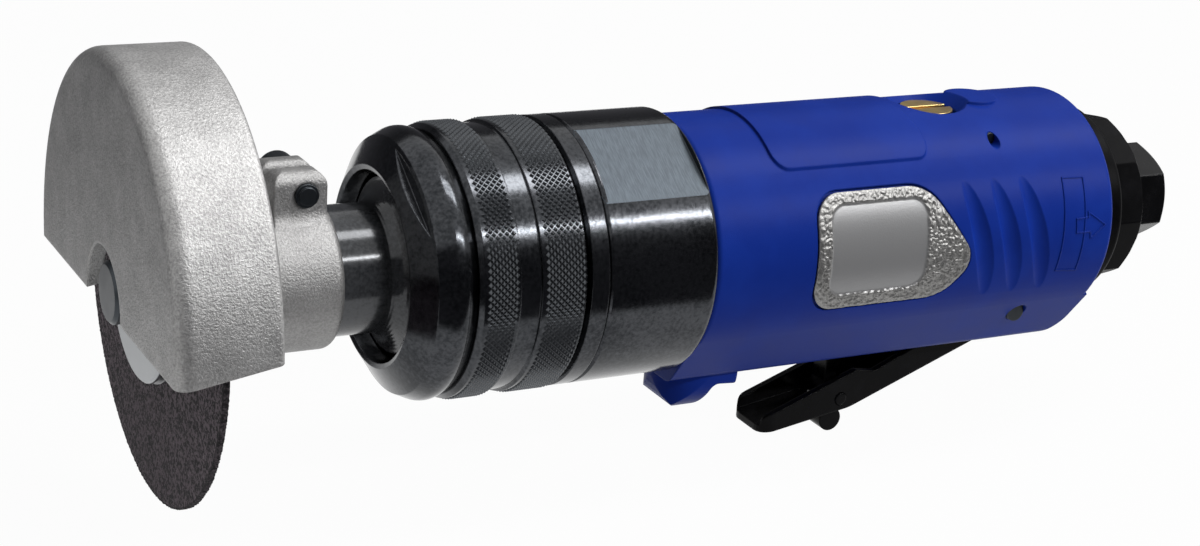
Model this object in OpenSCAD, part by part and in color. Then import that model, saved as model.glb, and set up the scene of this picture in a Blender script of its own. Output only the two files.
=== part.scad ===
// Hand-held pneumatic cut-off tool: vane motor, direct drive, clamped wheel guard.
// Origin at the centre of the air inlet's mouth; +X towards the wheel, +Y to the tool's left, +Z up.

/* [Air inlet and rear end] */
// Width across the flats of the hexagonal inlet
hex_af = 18; // [17:0.5:20]
// Length of the hexagon
hex_len = 13.2; // [10:0.2:18]
// Turn of the hexagon about the tool's axis
hex_turn = 6; // [0:1:30]
// Wall radius of the tapped inlet
inlet_r = 5.7; // [5:0.1:6.2]
// Depth of the tapped inlet
inlet_depth = 14; // [10:0.5:18]
// Radius of the air passage
passage_r = 4; // [3:0.25:4.5]
// Radius of the inlet bushing behind the hexagon
spigot_r = 8.2; // [7:0.1:8.4]
// Depth of the inlet bushing in the grip
spigot_seat = 10; // [8:0.5:14]
// Length of the faceted exhaust ring
ring_len = 7.5; // [5:0.25:10]
// Distance of the exhaust ring's corners inside the rear cap's edge
ring_inset = 2.2; // [1:0.1:4]
// Sides of the exhaust ring
ring_sides = 9; // [8:1:12]
// Turn of the exhaust ring about the tool's axis
ring_turn = 9; // [0:1:40]
// Distance of the rear cap's edge inside the grip's
rear_cap_inset = 3.4; // [3:0.1:5.5]
// Length of the rear cap
rear_cap_len = 5.5; // [4:0.25:8]
// Number of exhaust holes
exhaust_count = 8; // [4:1:10]
// Radius of an exhaust hole
exhaust_r = 1.6; // [1:0.1:1.8]

/* [Grip] */
// Radius of the grip
grip_r = 23.6; // [23:0.1:24.4]
// Length of the grip
grip_len = 92; // [86:1:104]
// Height that the keel's flat stands out below the grip's radius
keel_rise = 2.3; // [1.6:0.1:4]
// Half width of the keel between its corner centres
keel_half = 8; // [7.6:0.1:9]
// Corner radius of the keel
keel_corner = 3.5; // [2.5:0.1:4]
// Width of the lever slot
slot_w = 13.6; // [13:0.1:14.6]
// Height of the raised panel on the top
panel_rise = 0.5; // [0.3:0.1:1]
// Distance of the raised panel from the grip's front end
panel_setback = 15.2; // [10:0.2:20]
// Length of the raised panel
panel_len = 35; // [25:1:40]
// Angle that the raised panel spans on each side
panel_span = 45; // [30:1:50]
// Height that the hook in front of the lever stands out below the grip's radius
hook_rise = 10.8; // [9:0.2:13]
// Length of the hook along the tool
hook_len = 15.8; // [14:0.2:18]
// Width of the hook
hook_w = 18; // [15:0.5:20]
// Radius of a finger groove's section
groove_r = 3; // [2:0.1:3.4]
// Angle of the finger grooves' middle above the side
groove_mid = 2.5; // [0:0.5:8]
// Angle that a finger groove runs to each side of its middle
groove_half = 27; // [20:0.5:30]
// Depth of the finger grooves
groove_depth = 0.9; // [0.4:0.1:1.2]
// Spacing of the finger grooves
groove_pitch = 6.8; // [5.5:0.1:8]
// Lean of the finger grooves
groove_lean = 15.4; // [0:0.2:20]
// Distance of the badges from the grip's front end
badge_setback = 21.9; // [18:0.1:26]
// Length of a badge
badge_len = 36.3; // [32:0.1:40]
// Height of a badge's top edge above the axis
badge_high = 12.9; // [12:0.1:14.5]
// Depth of a badge's bottom edge below the axis
badge_low = 9.4; // [8.5:0.1:11]
// Thickness of a side badge
badge_t = 1.1; // [0.8:0.1:1.6]
// Height that a badge stands proud
badge_proud = 0.4; // [0.2:0.1:0.6]

/* [Motor housing, collar and nose] */
// Height of the steel barrel over the grip's radius
barrel_step = 1.46; // [0.8:0.02:2.4]
// Length of the housing in front of the grip
housing_len = 22.4; // [18:0.2:28]
// Length of the housing's spigot in the grip
housing_seat = 25.7; // [20:0.1:30]
// Wall of the grip round the housing's spigot
grip_wall = 2.6; // [2.2:0.1:3]
// Wall of the housing's spigot round the motor
seat_wall = 2.5; // [2:0.1:3]
// Depth of the wrench flats
flat_depth = 1.46; // [0.6:0.02:2]
// Turn of the wrench flats from the top
flat_turn = 33.5; // [0:0.5:90]
// Length of the spacer ring
band_len = 4.1; // [3:0.1:6]
// Distance of the knurled collar inside the barrel's radius
collar_inset = 0.16; // [0:0.02:0.6]
// Length of the knurled collar
collar_len = 21; // [18:0.2:26]
// Width of the smooth band round the collar
collar_band = 4.2; // [3:0.1:6]
// Length of the nose cap in front of the collar
cap_len = 10.4; // [9:0.1:13]
// Distance of the nose cap inside the barrel's radius
cap_inset = 0.26; // [0:0.02:0.6]
// Width of the cap's cone down to its mouth
mouth_inset = 6.5; // [5.5:0.1:7]
// Depth of the flats in the cap's cone
cap_flat_depth = 4.4; // [3.4:0.1:5]
// Wall of the nose tube round its bearing
nose_wall = 2.2; // [1.6:0.1:2.6]
// Free nose tube between the cap and the guard's clamp
nose_gap = 9.5; // [5:0.1:14]

/* [Vane motor] */
// Length of the cylinder liner
liner_len = 40; // [36:0.5:40]
// Wall of the cylinder liner round its bore, were it central
liner_wall = 4; // [3.4:0.1:4.4]
// Gap between the rotor and the liner's bore, were it central
rotor_gap = 1.5; // [1.2:0.05:2]
// Gap that is left where the rotor comes closest to the liner
crescent_gap = 0.25; // [0.15:0.05:0.6]
// Number of vanes
vane_count = 5; // [4:1:6]
// Thickness of a vane
vane_t = 1.6; // [1.2:0.1:2]
// Depth of a vane in the rotor
vane_depth = 6; // [4:0.25:7]
// Outer radius of the rear and nose bearings
small_bearing_r = 9.5; // [9:0.1:9.8]
// Width of the rear and nose bearings
small_bearing_w = 6; // [5:0.25:7]
// Outer radius of the front bearing
front_bearing_r = 11; // [10:0.1:12]
// Width of the front bearing
front_bearing_w = 7; // [6:0.25:8]
// Radius of the rotor's rear journal
rear_journal_r = 3; // [2.5:0.1:3.2]
// Radius of the rotor's front journal and the spindle's nose
journal_r = 4; // [3.8:0.1:4.2]
// Radius of the spindle's middle
spindle_r = 5.5; // [5:0.1:6]
// Wall of the end plates behind their bearings
plate_wall = 2; // [1.5:0.1:3]

/* [Wheel and guard] */
// Diameter of the cutting wheel
wheel_d = 76; // [65:1:80]
// Thickness of the cutting wheel
wheel_t = 1.2; // [1:0.1:3]
// Radius of the wheel's bore
wheel_bore_r = 4.77; // [4.6:0.01:5]
// Width that the washer in front of the wheel shows round the flange
washer_lip = 0.3; // [0.2:0.1:2]
// Thickness of that washer
washer_t = 0.8; // [0.6:0.1:1.5]
// Radius of both wheel flanges
flange_r = 16; // [14.5:0.1:17.5]
// Thickness of the flange behind the wheel
flange_t = 2; // [1.5:0.1:3]
// Thickness of the outer flange's rim
rim_t = 1; // [0.8:0.1:2]
// Depth of the outer flange's neck inside its rim
neck_step = 3; // [2:0.1:4]
// Length of the outer flange's neck
neck_len = 0.8; // [0.6:0.1:2]
// Radius of the wheel screw's head
screw_head_r = 5.5; // [5:0.1:7]
// Length of the collar under the wheel screw's head
screw_neck = 2.4; // [1:0.1:3]
// Height of the wheel screw's head
screw_head_h = 2.8; // [2:0.1:3.2]
// Radius of the wheel screw's shank
screw_r = 3; // [2.5:0.1:3.2]
// Gap between the wheel's edge and the guard's rim
wheel_gap = 1.4; // [1:0.1:4]
// Wall of the guard's rim
guard_wall = 2; // [1.8:0.1:2.5]
// Thickness of the guard's front plate
guard_plate = 2.8; // [2:0.1:3.4]
// Thickness of the guard's back plate
guard_back = 2.8; // [2:0.1:3.4]
// Distance from the guard's back to the wheel's middle
wheel_setback = 8.4; // [8:0.1:12]
// Depth of the guard's cut edge below the axis, at the front
guard_cut = 2.3; // [0:0.1:6]
// Height that the cut edge gains towards the guard's back
guard_rise = 3; // [0:0.1:4]
// Radius of the notch in the front plate
notch_r = 10; // [8:0.1:12]
// Depth of the notch's arch below the axis
notch_drop = 1.6; // [0:0.1:2]
// Rounding of the guard's front edge
guard_round = 2.8; // [2.6:0.1:5]
// Wall of the guard's clamp round the nose tube
clamp_wall = 1.8; // [1.4:0.1:3]
// Length of the guard's clamp
clamp_len = 21.2; // [20:0.1:28]
// Height of the clamp's ears over its radius
ear_rise = 6.9; // [6:0.1:9]
// Width across both ears
ear_w = 12.4; // [11:0.1:15]
// Length of the ears
ear_len = 9.6; // [9:0.1:14]
// Width of the clamp's slit
slit_w = 2.2; // [1.5:0.1:3]
// Radius of the clamp screw
clamp_screw_r = 2.1; // [1.8:0.1:2.3]

/* [Throttle] */
// Distance of the lever's pivot in front of the grip's rear end
pivot_x = 15.8; // [14:0.1:18]
// Depth of the lever's pivot inside the grip's radius
pivot_inset = 6.1; // [5.6:0.1:7]
// Radius of the lever's pivot pin
pivot_r = 2; // [1.5:0.1:2.2]
// Reach of the lever from its pivot
lever_reach = 51.5; // [46:0.5:53]
// Drop of the lever's tip below its pivot
lever_drop = 24.2; // [22:0.1:26]
// Width of the lever
lever_w = 12; // [11:0.1:12.4]
// Sheet thickness of the lever
lever_t = 1.5; // [1:0.1:1.8]
// Distance of the valve's axis in front of the grip's rear end
valve_x = 32; // [31:0.1:34]
// Radius of the valve bore
valve_r = 6.05; // [5.8:0.05:6.5]
// Radius of the valve stem
stem_r = 2; // [1.6:0.1:2.2]
// Radius of the valve's poppet
poppet_r = 4.4; // [4:0.1:5]
// Depth of the speed regulator's top inside the grip's radius
regulator_sink = 1.6; // [1.4:0.1:3]
// Length of the speed regulator
regulator_len = 13; // [11:0.1:14]
// Radius of the pin that keeps the regulator
keeper_r = 1.2; // [1:0.1:1.4]
// Radius of the lock lever's pin
lock_pin_r = 1.25; // [1:0.05:1.5]
// Width of the lock lever
lock_w = 6; // [4:0.1:6.4]
// Radius of the lock lever's finger bar
finger_r = 2.5; // [2:0.1:2.8]

/* [Clearances] */
// Radial clearance of pieces that seat in each other
seat_gap = 0.05; // [0.02:0.01:0.1]
// Radial clearance of running fits
run_gap = 0.04; // [0.02:0.01:0.08]
// Axial gap between turning and fixed faces
face_gap = 0.4; // [0.3:0.05:0.8]

/* [Hidden] */
$fn = 96;

// Radii that follow the grip's, and the nose tube's from its bearing
barrel_r = grip_r + barrel_step;
seat_r = grip_r - grip_wall;
motor_r = seat_r - seat_wall;
flat_r = barrel_r - flat_depth;
collar_r = barrel_r - collar_inset;
cap_r = barrel_r - cap_inset;
mouth_r = cap_r - mouth_inset;
cap_flat_r = cap_r - cap_flat_depth;
liner_r = motor_r - liner_wall;
rotor_r = liner_r - rotor_gap;
liner_offset = rotor_gap - crescent_gap;
rear_cap_r = grip_r - rear_cap_inset;
ring_r = rear_cap_r - ring_inset;
keel_drop = grip_r + keel_rise;
hook_drop = grip_r + hook_rise;
pivot_drop = grip_r - pivot_inset;
regulator_top = grip_r - regulator_sink;
nose_r = small_bearing_r + nose_wall;
clamp_r = nose_r + clamp_wall;
ear_top = clamp_r + ear_rise;
washer_r = flange_r + washer_lip;
neck_r = flange_r - neck_step;

// Places along the axis, from the inlet forwards
ring_x = hex_len;
rear_cap_x = ring_x + ring_len;
grip_x = rear_cap_x + rear_cap_len;
housing_x = grip_x + grip_len;
band_x = housing_x + housing_len;
collar_x = band_x + band_len;
cap_x = collar_x + collar_len;
mouth_x = cap_x + cap_len;
clamp_x = mouth_x + nose_gap;
guard_x = clamp_x + clamp_len;
wheel_x = guard_x + wheel_setback;
wheel_back = wheel_x - wheel_t / 2;
wheel_front = wheel_x + wheel_t / 2;
neck_x = wheel_front + washer_t;
rim_x = neck_x + neck_len;
flange_front = rim_x + rim_t;
head_x = flange_front + screw_neck;
plate_gap = 0.6;
plate_x = head_x + plate_gap;
guard_front = plate_x + guard_plate;

// The rear cap's wall, and the screen behind the inlet's thread
rear_wall = 1.4;
rear_cap_in = rear_cap_r - 2 * rear_wall;
screen_r = (inlet_r + passage_r) / 2;
screen_t = 1.2;

// The motor's stack inside the housing
bay_x = housing_x - housing_seat;
rear_bearing_x = bay_x + 2 * face_gap;
liner_x = rear_bearing_x + small_bearing_w + plate_wall;
front_plate_x = liner_x + liner_len;
front_bearing_x = front_plate_x + plate_wall;
nose_x = front_bearing_x + front_bearing_w;
nose_flange = 9;
plug_x = nose_x + nose_flange;
insert_r = motor_r - seat_gap;
sleeve_r = barrel_r - 3;
seal_r = 1.1;
seal_at = [seat_r + 0.2, bay_x + 4];
plate_hole_r = 6.6;
nose_end = guard_x - face_gap;
seal_t = 2;
nose_bearing_x = nose_end - small_bearing_w - 2 * seal_t;
seal_x = nose_bearing_x + small_bearing_w;
nose_bore_r = spindle_r + 1.5;
flare = 4.2;
flare_out = 1.2;
flare_r = nose_r + flare;
hub_r = 5.6;
ball_gap = 0.06;
cage_half = 0.35;
tang_r = 3.4;
tang_len = 7.5;
flange_back = wheel_back - flange_t;
pilot_r = wheel_bore_r - seat_gap;
screw_reach = 12;

// The guard
guard_in = wheel_d / 2 + wheel_gap;
guard_r = guard_in + guard_wall;
clamp_bore_r = nose_r + run_gap;
ear_inset = 1.4;
ear_x = clamp_x + ear_inset;
ear_round = 2.5;
ear_slit_round = 1.5;
ear_blend = 3.5;
clamp_screw_x = ear_x + 3.8;
clamp_screw_z = ear_top - 4;
clamp_head_r = 3.6;
clamp_head_h = 4;
clamp_head_y = 1 - ear_w / 2;

// The grip and its throttle
hook_x = housing_x - hook_len;
hook_inset = 1.6;
hook_front = housing_x - hook_inset;
hook_round = 6.2;
hook_foot = hook_front - hook_round - 1.1;
pivot_at = [grip_x + pivot_x, -pivot_drop];
pocket_r = 5.1;
pocket_top = pivot_drop - pocket_r;
pocket_len = 12;
slot_top = pivot_drop + 1.5;
slot_x = pivot_at[0] - 5.5;
valve_at = grip_x + valve_x;
bush_len = 14;
bush_top = bush_len - slot_top;
poppet_foot = bush_top + face_gap + 1;
poppet_top = poppet_foot + 2.6;
regulator_foot = regulator_top - regulator_len;
ring_z = regulator_foot + 3;
ring_w = 0.9;
regulator_r = valve_r - run_gap;
keeper_drop = 3.4;
keeper_z = regulator_top - keeper_drop;
keeper_x = valve_at - valve_r - keeper_r / 4;
keeper_neck = regulator_r - keeper_r - 2 * face_gap;
panel_x = housing_x - panel_setback;
boss_setback = 10.5;
boss_x = valve_at - boss_setback;
exhaust_inset = 6.8;
exhaust_pcd = rear_cap_r - exhaust_inset;
badge_front = housing_x - badge_setback;
badge_r = badge_len * 0.138;
badge_foot_r = grip_r + badge_proud - badge_t;

// Centre of the keel's corner, and the direction of the side that joins it to the barrel
keel_at = [keel_half, keel_corner - keel_drop];
tangent_turn = atan2(keel_at[0], -keel_at[1]) + acos((grip_r - keel_corner) / norm(keel_at));
tangent = [sin(tangent_turn), -cos(tangent_turn)];

// The lever, in places measured from its pivot
lever_bend = [31, -20.8];
bend_r = 12;
lever_heel = [1.5, -9.5];
lever_tip = [lever_reach, -lever_drop];
hump_at = [30.2, -12.9];
lock_place = [33.3, -18.7];
lock_at = pivot_at + lock_place;
finger_drop = 5.6;
tongue_rise = 7.6;
lock_slot = [7.7, lever_w - 2 * lever_t, 10];
lock_slot_back = 4.5;
spring_room = 1.4;
stem_gap = 0.4;

// Height of the lever's floor, measured from its pivot, at a distance in front of it
floor_slope = (lever_bend[1] - lever_heel[1]) / (lever_bend[0] - lever_heel[0]);
function floor_z(x) = lever_heel[1] + floor_slope * (x - lever_heel[0]);
stem_foot = pivot_at[1] + floor_z(valve_x - pivot_x) + lever_t + stem_gap;

// Points on an arc about a centre, in the plane of an outline
function arc(c, r, a0, a1, n = 10) = [
    for (i = [0:n])
        let (a = a0 + (a1 - a0) * i / n)
        c + r * [cos(a), sin(a)]
];

// An outline with each corner rounded by the third number of its point
function unit(v) = v / norm(v);
function rounded(pts, n = 6) = [
    for (i = [0:len(pts) - 1])
        let (p = [pts[i][0], pts[i][1]],
             before = pts[(i + len(pts) - 1) % len(pts)],
             after = pts[(i + 1) % len(pts)],
             u = unit([before[0], before[1]] - p),
             v = unit([after[0], after[1]] - p),
             half = acos(u * v) / 2,
             r = pts[i][2],
             c = p + unit(u + v) * r / sin(half),
             a = atan2(-v[1] - u[1], -v[0] - u[0]),
             side = sign(u[0] * v[1] - u[1] * v[0]))
        for (k = [0:(r > 0 ? n : 0)])
            let (b = a + side * (90 - half) * (1 - 2 * k / n))
            r > 0 ? c + r * [cos(b), sin(b)] : p
];

// Solid of revolution about the tool's axis, from an outline of radius and place
module turned() rotate([0, 90, 0]) rotate_extrude() children();

// Rods along the three axes
module rod_x(x0, x1, r) translate([x0, 0, 0]) rotate([0, 90, 0]) cylinder(h = x1 - x0, r = r);
module rod_y(x, z, y0, y1, r) translate([x, y0, z]) rotate([-90, 0, 0]) cylinder(h = y1 - y0, r = r);
module rod_z(x, z0, z1, r) translate([x, 0, z0]) cylinder(h = z1 - z0, r = r);

module tube_x(x0, x1, r_out, r_in) {
    difference() {
        rod_x(x0, x1, r_out);
        rod_x(x0 - 1, x1 + 1, r_in);
    }
}

// Outline in the plane across the tool, carried along it
module along_x(x0, x1) translate([x0, 0, 0]) rotate([90, 0, 90]) linear_extrude(x1 - x0) children();

// Outline in the tool's upright plane, carried across it
module across(y0, y1) translate([0, y1, 0]) rotate([90, 0, 0]) linear_extrude(y1 - y0) children();

// Holes or rods in a ring about the tool's axis
module ring_of(count, radius) {
    for (i = [0:count - 1]) rotate([i * 360 / count, 0, 0]) translate([0, 0, radius]) children();
}

// A bar with flat sides along the tool's axis, sized at its corners
module bar_x(x0, x1, r, sides) {
    translate([x0, 0, 0]) rotate([0, 90, 0]) cylinder(h = x1 - x0, r = r, $fn = sides);
}

// Rear end
module inlet_bushing() {
    face_r = hex_af / 2 - 0.4;
    corner_r = hex_af / 2 / cos(30);
    round_r = corner_r + 0.3;
    bevel = 1.2;
    color([0.07, 0.07, 0.08]) difference() {
        union() {
            intersection() {
                rotate([hex_turn, 0, 0]) bar_x(0, hex_len, corner_r, 6);
                turned() polygon([[0, 0], [face_r, 0], [round_r, bevel], [round_r, hex_len], [0, hex_len]]);
            }
            rod_x(hex_len, grip_x + spigot_seat, spigot_r);
        }
        rod_x(-1, inlet_depth, inlet_r);
        rod_x(inlet_depth - 1, inlet_depth + screen_t, screen_r);
        rod_x(0, grip_x + spigot_seat + 1, passage_r);
    }
}

module inlet_screen() {
    mesh_r = 0.7;
    color([0.75, 0.75, 0.72]) difference() {
        rod_x(inlet_depth + seat_gap, inlet_depth + screen_t, screen_r - seat_gap);
        rod_x(inlet_depth, inlet_depth + screen_t + 1, mesh_r);
        ring_of(6, screen_r * 0.55) rod_x(inlet_depth, inlet_depth + screen_t + 1, mesh_r);
    }
}

module exhaust_ring() {
    lip = 1;
    color([0.06, 0.06, 0.065]) difference() {
        intersection() {
            rotate([ring_turn, 0, 0]) bar_x(ring_x, rear_cap_x, ring_r, ring_sides);
            turned() polygon([
                [0, ring_x], [ring_r - lip, ring_x], [ring_r, ring_x + lip], [ring_r, rear_cap_x], [0, rear_cap_x]]);
        }
        rod_x(ring_x - 1, rear_cap_x + 1, spigot_r + seat_gap);
        ring_of(exhaust_count, exhaust_pcd) rod_x(ring_x - 1, rear_cap_x + 1, exhaust_r);
    }
}

module rear_cap() {
    color([0.06, 0.06, 0.065]) difference() {
        turned() polygon(concat([[0, rear_cap_x]],
            arc([rear_cap_r - rear_wall, rear_cap_x + rear_wall], rear_wall, -90, 0),
            [[rear_cap_r, grip_x], [0, grip_x]]));
        rod_x(rear_cap_x + rear_wall, grip_x + 1, rear_cap_in);
        rod_x(rear_cap_x - 1, grip_x, spigot_r + seat_gap);
        ring_of(exhaust_count, exhaust_pcd) rod_x(rear_cap_x - 1, grip_x, exhaust_r);
    }
}

module silencer() {
    color([0.45, 0.44, 0.4]) difference() {
        tube_x(rear_cap_x + rear_wall, grip_x, rear_cap_in - seat_gap, spigot_r + seat_gap);
        ring_of(exhaust_count, exhaust_pcd) rod_x(rear_cap_x, grip_x + 1, exhaust_r);
    }
}

// Grip
module keel_outline() {
    a = grip_r * tangent;
    b = keel_at + keel_corner * tangent;
    polygon([[0, 0], a, b, [keel_half, -keel_drop], [-keel_half, -keel_drop], [-b[0], b[1]], [-a[0], a[1]]]);
    for (s = [-1, 1]) translate([s * keel_half, keel_at[1]]) circle(keel_corner);
}

module grip_barrel() {
    edge = 1.2;
    turned() polygon(concat([[0, grip_x]], arc([grip_r - edge, grip_x + edge], edge, -90, 0),
        arc([grip_r - edge, housing_x - edge], edge, 0, 90), [[0, housing_x]]));
}

module grip_keel() {
    heel = 5;
    intersection() {
        along_x(grip_x, housing_x) keel_outline();
        across(-grip_r, grip_r) polygon(concat([[grip_x, 0]],
            arc([grip_x + heel, heel - keel_drop], heel, 180, 270), [[housing_x, -keel_drop], [housing_x, 0]]));
    }
}

module hook_outline() {
    shelf = keel_drop + 2;
    polygon(rounded([
        [hook_x, 0, 0], [hook_front, 0, 0], [hook_front, -hook_drop, hook_round],
        [hook_foot, -hook_drop, 1.4], [hook_foot - 2, -shelf, 1.6], [hook_x, -shelf - 0.4, 0.4]]));
}

module hook() {
    belly = hook_w / 2;
    intersection() {
        across(-hook_w, hook_w) hook_outline();
        along_x(hook_x - 1, housing_x + 1) union() {
            translate([-belly, -hook_drop + belly]) square([hook_w, hook_drop - belly]);
            translate([0, -hook_drop + belly]) circle(belly);
        }
        translate([0, 0, -hook_drop]) linear_extrude(hook_drop) union() {
            translate([hook_front - belly, 0]) circle(belly);
            translate([hook_x, -belly]) square([hook_front - belly - hook_x, hook_w]);
        }
    }
}

// Raised panel on the top, with an upright outline so that its ends are square
module panel() {
    half = grip_r * sin(panel_span);
    back = panel_x - panel_len;
    corner = 3;
    intersection() {
        tube_x(back, panel_x, grip_r + panel_rise, grip_r - 1);
        linear_extrude(2 * grip_r) polygon(rounded([
            [back, -half, corner], [panel_x, -half, corner], [panel_x, half, corner], [back, half, corner]]));
    }
}

// Finger groove: a ring about a centre beyond the axis, which leaves the grip's surface at both ends
module finger_groove() {
    run = grip_r + groove_r - groove_depth;
    ends = run + groove_depth;
    shift = (ends * ends - run * run) / (2 * (run - ends * cos(groove_half)));
    top = grip_r * sin(2 * groove_half);
    intersection() {
        rotate([groove_mid, 0, 0]) translate([0, -shift, 0]) turned() translate([run + shift, 0]) circle(groove_r);
        translate([-grip_r, 0, -top]) cube([2 * grip_r, 2 * grip_r, 2 * top]);
    }
}

module finger_grooves() {
    for (s = [0, 1], i = [0:2]) mirror([0, s, 0]) translate([valve_at - i * groove_pitch, 0, 0])
        rotate([0, groove_lean, 0]) finger_groove();
}

// Outline of a side badge, with its rear edge raked back
module badge_outline(grow) {
    high = badge_high + grow;
    low = -badge_low - grow;
    front = badge_front + grow;
    back = badge_front - badge_len - grow;
    nose = low + badge_len * 0.21;
    polygon(rounded([
        [front, high, badge_r], [front, low, badge_r], [back + badge_len * 0.18, low, 1.6 * badge_r],
        [back, nose, badge_r], [back + badge_len * 0.31, high, 1.8 * badge_r]]));
}

module badge_shell(r0, r1, grow) {
    intersection() {
        tube_x(grip_x, housing_x, r1, r0);
        across(0, 2 * grip_r) badge_outline(grow);
    }
}

module badge() {
    color([0.72, 0.73, 0.75]) badge_shell(badge_foot_r, grip_r + badge_proud, 0);
}

module badge_left() badge();
module badge_right() mirror([0, 1, 0]) badge();

module grip() {
    pocket_gap = 0.35;
    boss_r = 5.4;
    boss_rise = 0.1;
    dish = 4;
    dish_depth = 2.2;
    slot_foot = hook_drop + 2;
    color([0.1, 0.16, 0.6]) difference() {
        union() {
            grip_barrel();
            grip_keel();
            hook();
            panel();
            rod_z(boss_x, 0, grip_r + boss_rise, boss_r);
        }
        finger_grooves();
        for (s = [0, 1]) mirror([0, s, 0]) badge_shell(badge_foot_r, grip_r + 2, pocket_gap);
        rod_x(bay_x, housing_x + 1, seat_r + seat_gap);
        rod_x(grip_x - 1, grip_x + spigot_seat, spigot_r + seat_gap);
        rod_x(grip_x, bay_x + 1, passage_r);
        for (s = [-1, 1]) translate([0, s * exhaust_pcd, 0]) rod_x(grip_x - 1, bay_x + 1, exhaust_r);
        rod_z(valve_at, -slot_top - 1, 2 * grip_r, valve_r);
        translate([valve_at, 0, grip_r - dish_depth]) cylinder(h = dish, r1 = valve_r, r2 = valve_r + dish);
        translate([slot_x, -slot_w / 2, -slot_foot]) cube([hook_x - slot_x, slot_w, slot_foot - slot_top]);
        translate([slot_x, -slot_w / 2, -slot_foot]) cube([pocket_len, slot_w, slot_foot - pocket_top]);
        rod_y(pivot_at[0], pivot_at[1], -2 * grip_r, 2 * grip_r, pivot_r + seat_gap);
        rod_y(keeper_x, keeper_z, -2 * grip_r, 2 * grip_r, keeper_r + seat_gap);
    }
}

// Motor housing, collar and nose
module motor_housing() {
    edge = 1.6;
    bevel = 0.5;
    flat_edge = 0.85;
    color([0.08, 0.08, 0.09]) difference() {
        turned() polygon(concat([[motor_r, bay_x], [seat_r, bay_x], [seat_r, housing_x]],
            arc([barrel_r - edge, housing_x + edge], edge, -90, 0),
            [[barrel_r, band_x - bevel], [barrel_r - bevel, band_x], [sleeve_r, band_x], [sleeve_r, cap_x],
             [motor_r, cap_x]]));
        for (turn = [0, 180]) rotate([-flat_turn - turn, 0, 0])
            translate([housing_x + flat_edge, -barrel_r, flat_r])
                cube([housing_len - 2 * flat_edge, 2 * barrel_r, barrel_r]);
        turned() translate(seal_at) circle(seal_r);
    }
}

module housing_seal() {
    color([0.05, 0.05, 0.05]) difference() {
        turned() translate(seal_at) circle(seal_r - seat_gap);
        tube_x(bay_x, housing_x, barrel_r, seat_r);
    }
}

module spacer_ring() {
    bevel = 0.4;
    front_bevel = 0.9;
    color([0.08, 0.08, 0.09]) turned() polygon([
        [sleeve_r + seat_gap, band_x], [barrel_r - bevel, band_x], [barrel_r, band_x + bevel],
        [barrel_r, collar_x - bevel], [barrel_r - front_bevel, collar_x], [sleeve_r + seat_gap, collar_x]]);
}

module lock_collar() {
    bevel = 0.8;
    dip = 0.5;
    band_back = collar_x + collar_len * 0.54 - collar_band / 2;
    band_front = band_back + collar_band;
    color([0.07, 0.07, 0.08]) turned() polygon([
        [sleeve_r + seat_gap, collar_x], [collar_r - bevel, collar_x], [collar_r, collar_x + bevel],
        [collar_r, band_back], [collar_r - dip, band_back + dip / 2], [collar_r - dip, band_front - dip / 2],
        [collar_r, band_front], [collar_r, cap_x - bevel], [collar_r - bevel, cap_x], [sleeve_r + seat_gap, cap_x]]);
}

module nose_cap() {
    shoulder = 3.4;
    shoulder_x = cap_x + shoulder;
    cone_x = mouth_x - 3.2;
    cone_r = cap_r - 1.44;
    edge = 1.2;
    lip = [0.9, 0.3];
    rim_w = 0.4;
    color([0.08, 0.08, 0.09]) difference() {
        turned() polygon(concat(
            [[flare_r + seat_gap, plug_x], [insert_r, plug_x], [insert_r, cap_x], [cap_r - edge, cap_x]],
            arc([cap_r - shoulder, shoulder_x], shoulder, -30, 25),
            [[cone_r, cone_x], [mouth_r, mouth_x], [mouth_r, mouth_x] - lip,
             [flare_r + seat_gap, mouth_x - flare - 1]]));
        for (turn = [0, 180]) rotate([-flat_turn - turn, 0, 0])
            translate([cone_x + rim_w, -barrel_r, cap_flat_r]) cube([cap_len, 2 * barrel_r, barrel_r]);
    }
}

// The nose tube, with a root that flares inside the cap's mouth
module nose_housing() {
    bevel = 1;
    color([0.12, 0.12, 0.13]) turned() polygon(concat(
        [[nose_bore_r, nose_x], [insert_r, nose_x], [insert_r, plug_x], [flare_r, plug_x]],
        arc([flare_r, mouth_x + flare_out], flare, 270, 180),
        [[nose_r, nose_end - bevel], [nose_r - bevel, nose_end], [small_bearing_r + seat_gap, nose_end],
         [small_bearing_r + seat_gap, nose_bearing_x], [nose_bore_r, nose_bearing_x]]));
}

module nose_seal() {
    color([0.05, 0.05, 0.05]) tube_x(seal_x, seal_x + seal_t, small_bearing_r, hub_r + 0.6);
}

// Vane motor
module cylinder_liner() {
    port_r = 2;
    color([0.6, 0.6, 0.62]) difference() {
        rod_x(liner_x, front_plate_x, insert_r);
        translate([0, 0, liner_offset]) rod_x(liner_x - 1, front_plate_x + 1, liner_r);
        for (i = [1:3]) rod_y(liner_x + i * liner_len / 4, 0, -motor_r - 1, 0, port_r);
    }
}

module rear_end_plate() {
    color([0.62, 0.62, 0.64]) difference() {
        rod_x(bay_x, liner_x, insert_r);
        rod_x(bay_x - 1, rear_bearing_x + small_bearing_w, small_bearing_r + seat_gap);
        rod_x(bay_x, liner_x + 1, plate_hole_r);
        for (s = [-1, 1]) translate([0, s * exhaust_pcd, 0]) rod_x(bay_x - 1, liner_x + 1, exhaust_r);
    }
}

module front_end_plate() {
    color([0.62, 0.62, 0.64]) difference() {
        rod_x(front_plate_x, nose_x, insert_r);
        rod_x(front_bearing_x, nose_x + 1, front_bearing_r + seat_gap);
        rod_x(front_plate_x - 1, nose_x, plate_hole_r);
    }
}

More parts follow.
